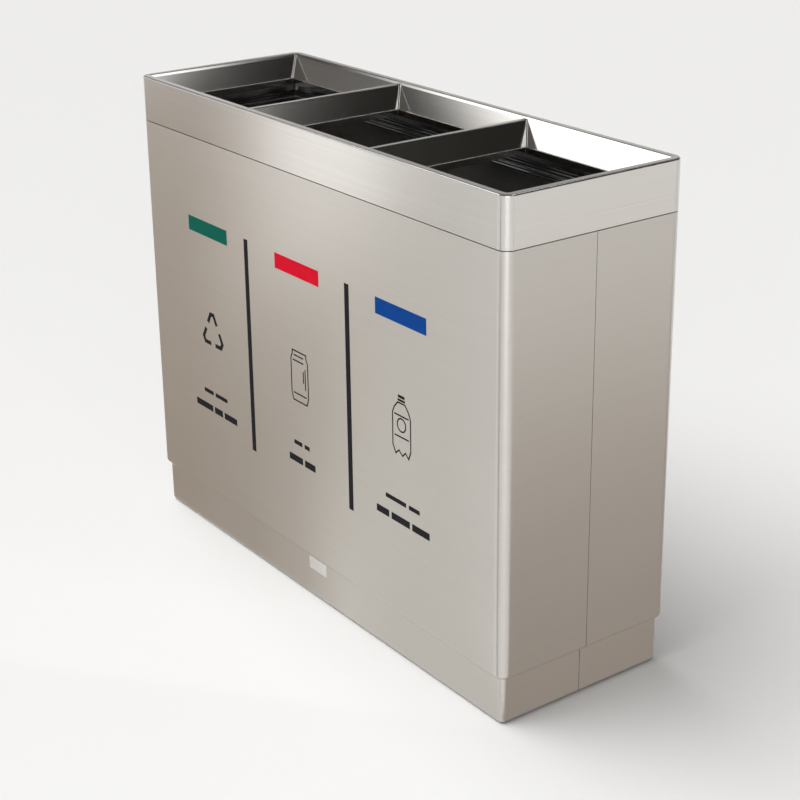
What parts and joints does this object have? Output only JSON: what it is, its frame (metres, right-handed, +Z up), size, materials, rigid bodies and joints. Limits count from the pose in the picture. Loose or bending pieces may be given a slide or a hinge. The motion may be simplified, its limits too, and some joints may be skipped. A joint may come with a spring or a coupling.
{
  "type": "litter bin",
  "caption": "Free-standing rectangular stainless steel recycling bin with a lift-off hopper lid and removable inner liners with bail handles.",
  "frame": {"origin": "on the floor, under the centre of the body", "axes": "+X to the right along the front, +Y to the back, +Z up"},
  "size_m": [1.11, 0.3652, 0.9],
  "materials": {
    "body_stainless": "horizontal brushed grain, satin",
    "lid_stainless": "horizontal brushed grain, satin",
    "hopper_stainless": "brushed along each wall, satin",
    "rail_stainless": "mill finish, folded sheet",
    "galvanised_steel": "galvanised, faint spangle",
    "zinc_fasteners": "bright zinc plate",
    "turned_steel": "turned, fine rings",
    "handle_wire": "drawn wire, bright zinc plate",
    "black_rubber": "moulded, matt",
    "liner_plastic": "fine moulded grain",
    "plate_aluminium": "satin anodised with a printed border",
    "green_film": "satin film",
    "red_film": "satin film",
    "blue_film": "satin film",
    "black_film": "satin film"
  },
  "bodies": {
    "body": {"front_shell": "body_stainless", "rear_shell": "body_stainless", "side_splices": "galvanised_steel", "top_frame": "rail_stainless", "lid_buffers": "black_rubber", "plinth_front": "body_stainless", "plinth_rear": "body_stainless", "plinth_splices": "galvanised_steel", "base_plate": "galvanised_steel", "base_bearers": "galvanised_steel", "foot_pads": "black_rubber", "foot_bolts": "zinc_fasteners", "foot_nuts": "zinc_fasteners", "liner_guides": "galvanised_steel", "nameplate": "plate_aluminium", "bar_general": "green_film", "bar_cans": "red_film", "bar_plastic": "blue_film", "divider_stripes": "black_film", "icon_general": "black_film", "icon_cans": "black_film", "icon_plastic": "black_film", "label_marks": "black_film"},
    "lid": {"lid_band": "lid_stainless", "lid_rail": "rail_stainless", "lid_dividers": "lid_stainless", "lid_pins": "turned_steel", "hopper_general": "hopper_stainless", "hopper_cans": "hopper_stainless", "hopper_plastic": "hopper_stainless"},
    "liner_general": {"liner_general": "liner_plastic", "ears_general": "zinc_fasteners", "ear_rivets_general": "zinc_fasteners"},
    "bail_general": {"bail_general": "handle_wire"},
    "liner_cans": {"liner_cans": "liner_plastic", "ears_cans": "zinc_fasteners", "ear_rivets_cans": "zinc_fasteners"},
    "bail_cans": {"bail_cans": "handle_wire"},
    "liner_plastic": {"liner_plastic": "liner_plastic", "ears_plastic": "zinc_fasteners", "ear_rivets_plastic": "zinc_fasteners"},
    "bail_plastic": {"bail_plastic": "handle_wire"}
  },
  "joints": [
    {"name": "lid_lift", "type": "slide", "parent": "body", "child": "lid", "axis": [0, 0, 1], "range_m": [0, 0.2]},
    {"name": "general_liner_lift", "type": "slide", "parent": "body", "child": "liner_general", "axis": [0, 0, 1], "range_m": [0, 0.15]},
    {"name": "general_bail_swing", "type": "hinge", "parent": "liner_general", "child": "bail_general", "pos_m": [-0.35533, 0, 0.682], "axis": [1, 0, 0], "range_deg": [0, 180]},
    {"name": "cans_liner_lift", "type": "slide", "parent": "body", "child": "liner_cans", "axis": [0, 0, 1], "range_m": [0, 0.15]},
    {"name": "cans_bail_swing", "type": "hinge", "parent": "liner_cans", "child": "bail_cans", "pos_m": [0, 0, 0.682], "axis": [1, 0, 0], "range_deg": [0, 180]},
    {"name": "plastic_liner_lift", "type": "slide", "parent": "body", "child": "liner_plastic", "axis": [0, 0, 1], "range_m": [0, 0.15]},
    {"name": "plastic_bail_swing", "type": "hinge", "parent": "liner_plastic", "child": "bail_plastic", "pos_m": [0.35533, 0, 0.682], "axis": [1, 0, 0], "range_deg": [0, 180]}
  ]
}
